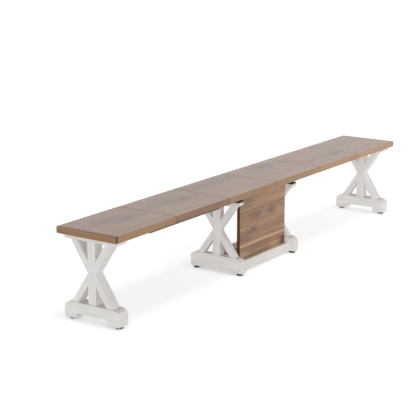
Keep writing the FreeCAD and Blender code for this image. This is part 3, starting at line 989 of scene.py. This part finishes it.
@dataclass
class SeatRow:
    """The row of leaves, with the end strips of the outer two and the battens of the rest."""

    finishes: Finishes
    ease: float = 0.0015
    batten_ease: float = 0.001
    batten_slope: float = 0.005
    screw_share: float = 0.6
    screw_radius: float = 0.0042

    def leaf_looks(self) -> dict[str, StainedWood]:
        """Describe the figure of each leaf's board, from the near end to the far end."""
        return {
            "near_leaf_board": StainedWood(
                "wood_leaf_1", seed=1.0, lift=0.05, edge_lift=0.00,
                knots=(Knot(-1.195, 0.048, 0.028, 0.62), Knot(-1.096, -0.008, 0.026, 0.90)),
            ),
            "leaf_2_board": StainedWood(
                "wood_leaf_2", seed=2.0, lift=0.00, edge_lift=-0.40,
                knots=(Knot(-0.702, 0.047, 0.030, 0.62), Knot(-0.632, 0.006, 0.024, 0.85)),
            ),
            "leaf_3_board": StainedWood(
                "wood_leaf_3", seed=3.0, lift=0.02, edge_lift=-0.10,
                streaks=(Streak(0.062, 0.150, -0.34), Streak(-0.130, -0.080, -0.20, -0.20, 0.0)),
            ),
            "leaf_4_board": StainedWood(
                "wood_leaf_4", seed=4.0, lift=0.04, edge_lift=-0.20,
                knots=(Knot(0.268, 0.095, 0.030, 0.80), Knot(0.200, 0.060, 0.022, 0.50)),
                streaks=(Streak(0.060, 0.140, -0.12, 0.10, 0.40),),
            ),
            "leaf_5_board": StainedWood(
                "wood_leaf_5", seed=5.0, lift=0.07, edge_lift=0.10,
                knots=(Knot(0.864, -0.055, 0.020, 0.75),),
                streaks=(Streak(-0.070, 0.110, -0.16, 0.40, 0.90),),
            ),
            "far_leaf_board": StainedWood(
                "wood_leaf_6", seed=6.0, lift=0.10, edge_lift=0.24,
                knots=(Knot(1.060, 0.060, 0.024, 0.35),),
                streaks=(Streak(-0.130, -0.090, -0.22, 0.95, 1.40),),
            ),
        }

    def build(self) -> None:
        """Build the leaves, the strips and the battens."""
        for number, (node, look) in enumerate(self.leaf_looks().items(), start=1):
            box = node_box(node)
            # Painted shade: each leaf is darkened along its two ends, for the shade in the seam
            # with the next leaf or strip
            look = replace(look, ends=(box.low[0], box.high[0]))
            add_piece(f"seat_leaf_{number}", board(box, self.ease), look.build(), node)
        for end in ("near", "far"):
            self.build_strip(end)
        for number in range(2, 6):
            self.build_battens(number)

    def build_strip(self, end: str) -> None:
        """Build the strip across one end of the seat, with its grain across the bench."""
        node = f"{end}_end_strip"
        box = node_box(node)
        look = StainedWood(
            f"wood_strip_{end}", light=(0.380, 0.213, 0.093), body=(0.290, 0.148, 0.058),
            dark=(0.150, 0.068, 0.028), stave=0.5, seed=8.0 if end == "near" else 9.0,
            # Painted shade: a thin dark band at each end of the strip stands for the shade in the
            # joint line at the seat's corners
            ends=(box.low[1], box.high[1]), end_shade_reach=0.0022, end_shade_dark=0.8,
            face_colour=(0.085, 0.042, 0.026), across=2,
            streaks=(
                Streak(0.4275, 0.4335, -0.28),
                Streak(0.4400, 0.4440, -0.20),
                Streak(0.4535, 0.4600, -0.60),
            ),
        )
        surface = board(box, self.ease, Axis.Y)
        add_piece(f"seat_end_strip_{end}", surface, look.build(), node)

    def build_battens(self, number: int) -> None:
        """Build the two battens of a loose leaf and the screws that hold them."""
        node = f"leaf_{number}_battens"
        shells = []
        places = []
        for box in solid_boxes(node):
            half = box.high[1]
            flank = np.array([(half - self.batten_slope, box.low[2]), (half, box.high[2])])
            outline = mirrored_outline(flank)
            batten = prism(outline, box.low[0], box.high[0], self.batten_ease)
            shells.append(batten.along((0, 1, 0), number))
            for share in (-self.screw_share, 0.0, self.screw_share):
                places.append((box.middle[0], share * half, box.low[2]))
        add_piece(f"leaf_{number}_batten_pair", joined(shells), self.finishes.raw, node)
        heads = screw_heads(np.array(places), self.screw_radius, Axis.Z, -1)
        add_screws(f"leaf_{number}_batten_screws", heads, self.finishes, node)


@dataclass
class Trestle:
    """One trestle: a foot beam on glides, a post, four arms and a top rail."""

    finishes: Finishes
    prefix: str
    recess: float
    seed: int
    ease: float = 0.0014
    shoulder_run: float = 0.041
    shoulder_drop: float = 0.020
    pad_length: float = 0.068
    cove_radius: float = 0.008
    cove_share: float = 0.8
    nose_run: float = 0.022
    nose_drop: float = 0.016
    post_width: float = 0.045
    arm_width: float = 0.032
    arm_spread: float = 0.245
    waist_width: float = 0.045
    tenon_width: float = 0.028
    tenon_share: float = 0.5

    def __post_init__(self) -> None:
        """Read the places of the members from the frame."""
        self.beam = node_box(f"{self.prefix}_foot_beam")
        self.rail = node_box(f"{self.prefix}_top_rail")
        self.post = node_box(f"{self.prefix}_post")

    def build(self) -> None:
        """Build the wooden members."""
        for part, box, outline in (
            ("foot_beam", self.beam, self.beam_outline()),
            ("top_rail", self.rail, self.rail_outline()),
        ):
            self.add(part, [prism(outline, box.low[0], box.high[0], self.ease)], (0, 1, 0))
        self.add("post", self.post_shells(), (0, 0, 1))
        self.build_arms("lower_arms", self.beam.high[2])
        self.build_arms("upper_arms", self.rail.low[2])

    def add(self, part: str, shells: list[Surface], direction: Sequence[float]) -> None:
        """Join shells whose grain runs one way and add them as one painted piece."""
        self.seed += 1
        grained = [shell.along(direction, self.seed) for shell in shells]
        node = f"{self.prefix}_{part}"
        add_piece(f"painted_{node}", joined(grained), self.finishes.paint, node)

    def beam_outline(self) -> np.ndarray:
        """Return the foot beam's outline: a pad, a coved recess and a rounded shoulder."""
        half = self.beam.high[1]
        low, high = self.beam.low[2], self.beam.high[2]
        pad_end = half - self.pad_length
        cove = min(self.cove_radius, self.cove_share * self.recess)
        right_cove = level_arc((pad_end - cove, low + self.recess), cove, -cove, steps=6)
        flat_end = half - self.shoulder_run
        shoulder = level_arc((flat_end, high), self.shoulder_run, -self.shoulder_drop)[::-1]
        pad = [(pad_end, low), (half, low)]
        return mirrored_outline(np.concatenate([right_cove, pad, shoulder]))

    def rail_outline(self) -> np.ndarray:
        """Return the top rail's outline, rounded away below at both ends."""
        half = self.rail.high[1]
        low, high = self.rail.low[2], self.rail.high[2]
        nose = level_arc((half - self.nose_run, low), self.nose_run, self.nose_drop)
        return mirrored_outline(np.concatenate([nose, [(half, high)]]))

    def post_shells(self) -> list[Surface]:
        """Return the post's shaft and its two stub tenons."""
        middle = self.post.middle[0]
        half_x = self.post.high[0] - middle
        half_y = self.post_width / 2.0
        low, high = self.beam.high[2], self.rail.low[2]
        shaft = rectangle((middle - half_x, -half_y), (middle + half_x, half_y))
        inner_x = half_x * self.tenon_share
        inner_y = self.tenon_width / 2.0
        stub = rectangle((middle - inner_x, -inner_y), (middle + inner_x, inner_y))
        return [
            prism(shaft, low, high, self.ease, Axis.Z),
            prism(stub, self.post.low[2], low, self.ease / 2.0, Axis.Z),
            prism(stub, high, self.post.high[2], self.ease / 2.0, Axis.Z),
        ]

    def build_arms(self, part: str, foot_z: float) -> None:
        """Build two slanted arms between the post and the beam or rail.

        The outer edge runs from the end of the spread to the waist at the trestle's
        mid-height. The inner edge is parallel to it.

        Args:
            part: The node's name without its prefix.
            foot_z: The height of the face on which the arms stand.
        """
        node = f"{self.prefix}_{part}"
        middle_z = (self.beam.high[2] + self.rail.low[2]) / 2.0
        foot_y = self.arm_spread / 2.0
        slope = (middle_z - foot_z) / (foot_y - self.waist_width / 2.0)
        inner_foot = foot_y - self.arm_width / math.sin(math.atan(abs(slope)))
        post_y = self.post_width / 2.0
        outline = np.array([
            (foot_y, foot_z),
            (post_y, foot_z + (foot_y - post_y) * slope),
            (post_y, foot_z + (inner_foot - post_y) * slope),
            (inner_foot, foot_z),
        ])
        self.seed += 1
        shells = []
        for box in solid_boxes(node):
            shell = prism(outline * (box.side, 1.0), box.low[0], box.high[0], self.ease)
            shells.append(shell.along((0.0, -box.side, slope), self.seed * 2 + box.side))
        add_piece(f"painted_{node}", joined(shells), self.finishes.paint, node)


@dataclass
class Glides:
    """The round glides under the foot beams, with their stems."""

    finishes: Finishes
    radius: float = 0.017
    waist: float = 0.0145
    stem: float = 0.005
    height: float = 0.013
    rim: float = 0.0075
    foot_share: float = 0.55
    foot_ease: float = 0.0022
    step_height: float = 0.012
    step_drop: float = 0.002

    def build(self) -> None:
        """Build the glides of both ends and of the stand."""
        for node in ("near_glides", "far_glides", "stand_glides"):
            shells = [self.glide(box) for box in solid_boxes(node)]
            add_piece(f"turned_{node}", joined(shells), self.finishes.glide, node)

    def glide(self, box: Box) -> Surface:
        """Return one glide: a rounded pad, a soft step and the stem that goes into the beam."""
        ease, run = self.foot_ease, self.radius - self.waist
        pad = level_arc((self.radius - ease, 0.0), ease, ease, steps=4)
        step = level_arc((self.waist, self.step_height), run, -self.step_drop, steps=4)[::-1]
        profile = np.array([
            (self.radius * self.foot_share, 0.0),
            *pad,
            (self.radius, self.rim),
            *step,
            (self.waist, self.height),
            (self.stem, self.height),
            (self.stem, box.high[2] - box.low[2]),
        ])
        return turned(profile, (box.middle[0], box.middle[1], box.low[2]))


@dataclass
class Slides:
    """The telescopic slides under the seat: channels, solid bars, shoes and saddles."""

    finishes: Finishes
    wall: float = 0.002
    lane: float = 0.009
    bend: float = 0.0006
    block_ease: float = 0.0008
    plate: float = 0.003
    plate_lift: float = 0.0003
    saddle: float = 0.008
    saddle_ease: float = 0.0004
    screw_radius: float = 0.0038
    screw_rise: float = 0.0055
    head_depth: float = 0.002
    crown_height: float = 0.0006
    socket_rim: float = 0.0004
    socket_floor: float = -0.0004

    def build(self) -> None:
        """Build the bars of both ends, the fixed bars, the shoes and the saddles."""
        steel, nylon = self.finishes.steel, self.finishes.nylon
        for end in ("near", "far"):
            for part in ("carrier_bars", "middle_bars"):
                node = f"{end}_slide_{part}"
                shells = [self.channel(box, box.low[0], box.high[0]) for box in solid_boxes(node)]
                add_piece(f"rolled_{node}", joined(shells), steel, node)
            self.build_end_bars(end)
            for part in ("middle_shoes", "end_shoes"):
                node = f"{end}_slide_{part}"
                self.build_blocks(f"moulded_{node}", node, nylon)
        self.build_blocks("moulded_slide_fixed_shoes", "slide_fixed_shoes", nylon)
        self.build_blocks("drawn_fixed_bars", "slide_fixed_bars", steel)
        self.build_saddles()

    def build_blocks(self, name: str, node: str, material: bpy.types.Material) -> None:
        """Build one node's shoes or solid bars, as boxes with eased edges."""
        shells = [board(box, self.block_ease) for box in solid_boxes(node)]
        add_piece(name, joined(shells), material, node)

    def channel(self, box: Box, start: float, end: float) -> Surface:
        """Return a channel with its web on the side away from the middle of the bench."""
        outer = max(abs(box.low[1]), abs(box.high[1]))
        inner = outer - self.lane
        low, high = box.low[2], box.high[2]
        outline = np.array([
            (outer, low),
            (outer, high),
            (inner, high),
            (inner, high - self.wall),
            (outer - self.wall, high - self.wall),
            (outer - self.wall, low + self.wall),
            (inner, low + self.wall),
            (inner, low),
        ])
        return prism(outline * (box.side, 1.0), start, end, self.bend)

    def build_end_bars(self, end: str) -> None:
        """Build the end bars with their plates, and the screws through the plates."""
        node = f"{end}_slide_end_bars"
        way = -1 if end == "near" else 1
        shells = []
        places = []
        for box in solid_boxes(node):
            tip, rail_face = (box.low[0], box.high[0])[::way]
            plate_face = rail_face - way * self.plate
            shells.append(self.channel(box, min(tip, plate_face), max(tip, plate_face)))
            outline = rectangle((box.low[1], box.low[2] + self.plate_lift), box.high[1:])
            near_face, far_face = sorted((rail_face, plate_face))
            shells.append(prism(outline, near_face, far_face, self.bend))
            inner, outer = sorted((abs(box.low[1]), abs(box.high[1])))
            y = box.side * (outer - self.lane + inner) / 2.0
            for rise in (-self.screw_rise, self.screw_rise):
                places.append((plate_face, y, box.middle[2] + rise))
        add_piece(f"rolled_{node}", joined(shells), self.finishes.steel, node)
        heads = screw_heads(np.array(places), self.screw_radius, Axis.X, -way)
        add_screws(f"{end}_plate_screws", heads, self.finishes, node)

    def build_saddles(self) -> None:
        """Build the saddles, each with a raised seat under the fixed bars, and their screws."""
        shells = []
        places = []
        for box in solid_boxes("slide_saddles"):
            bars = [b for b in solid_boxes("slide_fixed_bars") if b.side == box.side]
            spans = sorted({(round(b.low[1], 5), round(b.high[1], 5)) for b in bars})
            plate_top, top = box.low[2] + self.saddle, box.high[2]
            corners = [box.low[1:], (box.high[1], box.low[2]), (box.high[1], plate_top)]
            for low, high in spans[::-1]:
                corners += [(high, plate_top), (high, top), (low, top), (low, plate_top)]
            outline = np.array([*corners, (box.low[1], plate_top)])
            shells.append(prism(outline, box.low[0], box.high[0], self.saddle_ease))
            y = (spans[0][1] + spans[1][0]) / 2.0
            places.append((box.middle[0], y, plate_top - self.saddle_ease))
        add_piece("moulded_saddles", joined(shells), self.finishes.saddle, "slide_saddles")
        heads = joined([turned(self.sunk_head(), place, Axis.Z, HEAD_SIDES) for place in places])
        add_screws("saddle_screws", heads, self.finishes, "slide_saddles")

    def sunk_head(self) -> np.ndarray:
        """Return a low screw head's profile: its foot, a quarter ellipse and a socket."""
        crown, rows = 0.5, 4
        angle = np.linspace(0.0, QUARTER_TURN, rows)
        across = crown + (1.0 - crown) * np.cos(angle)
        dome = np.stack([across, self.crown_height * np.sin(angle)], axis=1)
        foot = [(0.60, -self.head_depth)]
        socket = [(0.45, self.socket_rim), (0.40, self.socket_floor)]
        return np.concatenate([foot, dome, socket]) * (self.screw_radius, 1.0)


@dataclass
class LeafStore:
    """The leaf store in the centre stand: skirts, ledgers, slats, front panel and brackets."""

    finishes: Finishes
    ease: float = 0.0016
    ledger_ease: float = 0.001
    slat_ease: float = 0.0015
    slat_screw_radius: float = 0.0032
    slat_screw_margin: float = 0.008
    slat_screw_spread: float = 0.018
    bracket: float = 0.0025
    bracket_bend: float = 0.0006
    screw_radius: float = 0.0036
    screw_margin: float = 0.010
    screw_second: float = 0.032
    skirt_seed: int = 71
    ledger_seed: int = 81
    slat_seed: int = 91

    def build(self) -> None:
        """Build every part of the store."""
        for seed, side in enumerate(("front", "back"), start=self.skirt_seed):
            node = f"stand_{side}_skirt"
            surface = board(node_box(node), self.ease, Axis.X, seed)
            add_piece(f"painted_{node}", surface, self.finishes.paint, node)
        ledgers = [
            board(box, self.ledger_ease, Axis.X, seed)
            for seed, box in enumerate(solid_boxes("store_ledgers"), start=self.ledger_seed)
        ]
        add_piece("sanded_ledgers", joined(ledgers), self.finishes.raw, "store_ledgers")
        self.build_slats()
        self.build_panel()
        self.build_brackets()

    def build_slats(self) -> None:
        """Build the slats of the floor and the screws at their ends."""
        boxes = solid_boxes("store_slats")
        slats = [
            board(box, self.slat_ease, Axis.Y, seed)
            for seed, box in enumerate(boxes, start=self.slat_seed)
        ]
        add_piece("sanded_slats", joined(slats), self.finishes.raw, "store_slats")
        places = []
        for box in boxes:
            for y in (box.low[1] + self.slat_screw_margin, box.high[1] - self.slat_screw_margin):
                for aside in (-self.slat_screw_spread, self.slat_screw_spread):
                    places.append((box.middle[0] + aside, y, box.high[2]))
        heads = screw_heads(np.array(places), self.slat_screw_radius, Axis.Z, 1)
        add_screws("slat_screws", heads, self.finishes, "store_slats")

    def build_panel(self) -> None:
        """Build the front panel, a wide board with two knots and a pale streak, whose end faces
        are painted dark as in shade.
        """
        box = node_box("store_front_panel")
        look = StainedWood(
            "wood_panel", light=(0.590, 0.340, 0.160), body=(0.290, 0.148, 0.069),
            dark=(0.122, 0.048, 0.022), across=2, stave=0.60, ring=0.0125, pith_depth=0.16,
            seed=11.0, lift=0.04, contrast=0.68, knot_colour=(0.085, 0.040, 0.024),
            # Painted shade: the end faces and a thin band before them are dark reddish brown,
            # partly end grain and partly the shade beside the trestles
            ends=(box.low[0], box.high[0]), end_shade_reach=0.0012, end_shade_dark=0.90,
            end_shade_colour=(0.130, 0.040, 0.020), face_colour=(0.130, 0.040, 0.020),
            knots=(Knot(-0.121, 0.204, 0.0105, 0.95), Knot(0.064, 0.276, 0.011, 0.85)),
            streaks=(
                Streak(0.1285, 0.1375, 1.50),
                Streak(0.034, 0.120, -0.08),
                Streak(0.030, 0.105, -1.00, 0.170, 0.3),
                Streak(0.040, 0.115, -0.18, -0.16, 0.04),
                Streak(0.040, 0.115, 0.12, 0.06, 0.15),
                Streak(0.150, 0.215, -0.16, -0.3, -0.15),
                Streak(0.262, 0.300, -0.22, -0.16, -0.05),
                Streak(0.262, 0.300, 0.18, -0.04, 0.03),
                Streak(0.255, 0.300, 0.16, 0.09, 0.16),
                Streak(0.335, 0.392, -0.18, -0.3, -0.14),
                Streak(0.312, 0.320, -0.25),
                Streak(0.256, 0.262, -0.22, -0.3, -0.05),
                Streak(0.238, 0.243, -0.30, -0.3, -0.16),
            ),
        )
        add_piece("store_panel", board(box, self.ease), look.build(), "store_front_panel")

    def build_brackets(self) -> None:
        """Build the two angles behind the panel, each bent from flat steel, and their screws."""
        node = "store_panel_brackets"
        middle_x = node_box("store_front_panel").middle[0]
        shells = []
        panel_places = []
        rail_places = {1: [], -1: []}
        for box in solid_boxes(node):
            inward = 1 if box.middle[0] < middle_x else -1
            corner_x, far_x = (box.low[0], box.high[0])[::inward]
            low_y, high_y = box.low[1], box.high[1]
            inner_x, inner_y = corner_x + inward * self.bracket, low_y + self.bracket
            outline = np.array([
                (corner_x, low_y),
                (far_x, low_y),
                (far_x, inner_y),
                (inner_x, inner_y),
                (inner_x, high_y),
                (corner_x, high_y),
            ])
            shells.append(prism(outline, box.low[2], box.high[2], self.bracket_bend, Axis.Z))
            z = box.middle[2]
            for from_tip in (self.screw_margin, self.screw_second):
                panel_places.append((far_x - inward * from_tip, inner_y, z))
            rail_places[inward].append((inner_x, high_y - self.screw_margin, z))
        add_piece("bent_brackets", joined(shells), self.finishes.steel, node)
        heads = [screw_heads(np.array(panel_places), self.screw_radius, Axis.Y, 1)]
        for way, places in rail_places.items():
            heads.append(screw_heads(np.array(places), self.screw_radius, Axis.X, way))
        add_screws("bracket_screws", joined(heads), self.finishes, node)


@dataclass(frozen=True)
class Viewpoint:
    """The camera's place: its bearing, how far off it stands and what its frame is centred on."""

    azimuth: float = -55.57
    elevation: float = 13.87
    distance: float = 6.93496
    target_height: float = 0.230
    slide_right: float = -0.22709
    slide_up: float = 0.05310
    lens: float = 109.08
    sensor: float = 36.0
    clip_end: float = 200.0

    def build(self) -> None:
        """Make the camera. Its back, right and up directions follow from its two angles."""
        azimuth, elevation = math.radians(self.azimuth), math.radians(self.elevation)
        right = np.array((math.cos(azimuth), math.sin(azimuth), 0.0))
        away = np.array((math.sin(azimuth), -math.cos(azimuth), 0.0))
        back = away * math.cos(elevation) + (0.0, 0.0, math.sin(elevation))
        up = np.cross(back, right)
        target = np.array((0.0, 0.0, self.target_height))
        place = target + right * self.slide_right + up * self.slide_up + back * self.distance
        data = bpy.data.cameras.new("camera")
        data.lens = self.lens
        data.sensor_width = self.sensor
        data.clip_end = self.clip_end
        camera = bpy.data.objects.new("camera", data)
        columns = np.eye(4)
        columns[:3] = np.stack([right, up, back, place], axis=1)
        camera.matrix_world = Matrix(columns.tolist())
        bpy.context.scene.collection.objects.link(camera)
        bpy.context.scene.camera = camera


@dataclass(frozen=True)
class DistantLamp:
    """A lamp as far off as the sun, such as a wide softbox.

    Strength is the light that it gives on a face square to it, in watts per square metre.
    Azimuth is 0 in front of the bench and grows towards its far end, and elevation is 90
    overhead. Width is how many degrees wide the lamp looks. A fill gives neither shadows nor
    reflections. The height only keeps the lamp's mark clear of the bench.
    """

    name: str
    strength: float
    azimuth: float
    elevation: float
    width: float = 34.0
    colour: Colour = WHITE
    fill: bool = False
    height: float = 4.0

    def build(self) -> None:
        """Make the lamp. Unturned it would shine straight down."""
        lamp = bpy.data.lights.new(self.name, "SUN")
        lamp.energy = self.strength
        lamp.angle = math.radians(self.width)
        lamp.color = self.colour
        lamp.use_shadow = not self.fill
        shown = bpy.data.objects.new(self.name, lamp)
        tilt = math.radians(90.0 - self.elevation)
        shown.rotation_euler = (tilt, 0.0, math.radians(self.azimuth))
        shown.location = (0.0, 0.0, self.height)
        shown.visible_glossy = not self.fill
        bpy.context.scene.collection.objects.link(shown)


@dataclass(frozen=True)
class Studio:
    """A plain white floor in a white surround, lit by weak lamps.

    Five are distant: above, at the near end and in front, two of them fills. The sixth, a fill
    too, is a spot lamp in front of the bench's far half.
    """

    floor_half: float = 30.0
    floor_colour: Colour = (0.865, 0.875, 0.885)
    floor_glow: float = 0.572
    contact_reach: float = 0.12
    contact_depth: float = 0.38
    contact_samples: int = 16
    sky_strength: float = 0.272
    ring_strength: float = 0.576
    ring_height: float = 0.50
    lamps: tuple[DistantLamp, ...] = (
        DistantLamp("overhead", 0.36, 0.0, 80.0, width=16.0),
        DistantLamp("end", 0.20, -64.0, 5.0),
        DistantLamp("end_fill", 0.96, -74.0, 0.0, fill=True),
        DistantLamp("front", 0.28, -8.0, 5.0, colour=(0.90, 1.08, 1.26)),
        DistantLamp("front_fill", 0.63, -8.0, 0.0, colour=(1.0, 0.90, 0.80), fill=True),
    )
    far_power: float = 24.0
    far_width: float = 1.0
    far_cone: float = 56.0
    far_blend: float = 0.6
    far_place: Point = (0.1, -2.0, 0.7)
    far_target: Point = (1.2, 0.0, 0.2)

    def build(self) -> None:
        """Build the floor, the surround and the lamps, and keep the colours as they are."""
        self.build_floor()
        self.build_surround()
        for lamp in self.lamps:
            lamp.build()
        self.build_far_lamp()
        bpy.context.scene.view_settings.view_transform = "Standard"

    def build_far_lamp(self) -> None:
        """Make the fill in front of the bench's far half, a soft-edged cone on the far trestle."""
        lamp = bpy.data.lights.new("far_half", "SPOT")
        lamp.shadow_soft_size = self.far_width / 2.0
        lamp.spot_size = math.radians(self.far_cone)
        lamp.spot_blend = self.far_blend
        lamp.energy = self.far_power
        lamp.use_shadow = False
        shown = bpy.data.objects.new("far_half", lamp)
        shown.location = self.far_place
        shown.visible_glossy = False
        aim = Vector(self.far_target) - Vector(self.far_place)
        shown.rotation_euler = aim.to_track_quat("-Z", "Y").to_euler()
        bpy.context.scene.collection.objects.link(shown)

    def build_floor(self) -> None:
        """Build the floor.

        It glows a little for the camera and for reflections, and less so close to a foot: by
        the depth of the contact shade where everything within its reach is hidden.
        """
        half = self.floor_half
        corners = [(-half, -half, 0.0), (half, -half, 0.0), (half, half, 0.0), (-half, half, 0.0)]
        mesh = bpy.data.meshes.new("floor")
        mesh.from_pydata(corners, [], [(0, 1, 2, 3)])
        material = bpy.data.materials.new("floor_white")
        graph = Graph(material)
        near_by = graph.node("AmbientOcclusion")
        near_by.samples = self.contact_samples
        near_by.inputs["Distance"].default_value = self.contact_reach
        depth = self.contact_depth
        open_share = graph.math("MULTIPLY_ADD", near_by.outputs["AO"], depth, 1.0 - depth)
        shown = graph.math("MULTIPLY", graph.seen_directly(), open_share)
        strength = graph.math("MULTIPLY", shown, self.floor_glow)
        diffuse = graph.node("BsdfDiffuse", self.floor_colour)
        glow = graph.node("Emission", WHITE, strength)
        total = graph.node("AddShader", diffuse.outputs[0], glow.outputs[0])
        graph.node("OutputMaterial", total.outputs[0])
        mesh.materials.append(material)
        floor = bpy.data.objects.new("floor", mesh)
        bpy.context.scene.collection.objects.link(floor)

    def build_surround(self) -> None:
        """Build the surround, which is plain white to the eye and in reflections.

        As light on surfaces it is a weak sky and a brighter ring round the horizon, whose
        strength is exp(-(height / ring_height)^2) of its full one.
        """
        world = bpy.data.worlds.new("surround")
        graph = Graph(world)
        height = graph.parts(graph.node("TexCoord").outputs["Generated"])[2]
        share = graph.math("DIVIDE", height, self.ring_height)
        square = graph.math("MULTIPLY", share, share)
        fall = graph.math("POWER", math.e, graph.math("MULTIPLY", square, -1.0))
        light = graph.math("MULTIPLY_ADD", fall, self.ring_strength, self.sky_strength)
        choose = graph.node("Mix", graph.seen_directly())
        graph.feed(choose.inputs[2], light)
        graph.feed(choose.inputs[3], 1.0)
        background = graph.node("Background", WHITE, choose.outputs[0])
        graph.node("OutputWorld", background.outputs[0])
        bpy.context.scene.world = world


def main() -> None:
    """Build the bench's looks, the studio and the camera."""
    logging.basicConfig(level=logging.INFO, format="%(message)s")
    finishes = Finishes()
    SeatRow(finishes).build()
    Trestle(finishes, "near", recess=0.025, seed=100).build()
    Trestle(finishes, "far", recess=0.025, seed=200).build()
    Trestle(finishes, "stand_near", recess=0.008, seed=300).build()
    Trestle(finishes, "stand_far", recess=0.008, seed=400).build()
    Glides(finishes).build()
    Slides(finishes).build()
    LeafStore(finishes).build()
    for end in ("near", "far"):
        dress(f"{end}_leaf_screws", finishes.zinc)
    Studio().build()
    Viewpoint().build()


if __name__ == "__main__":
    main()
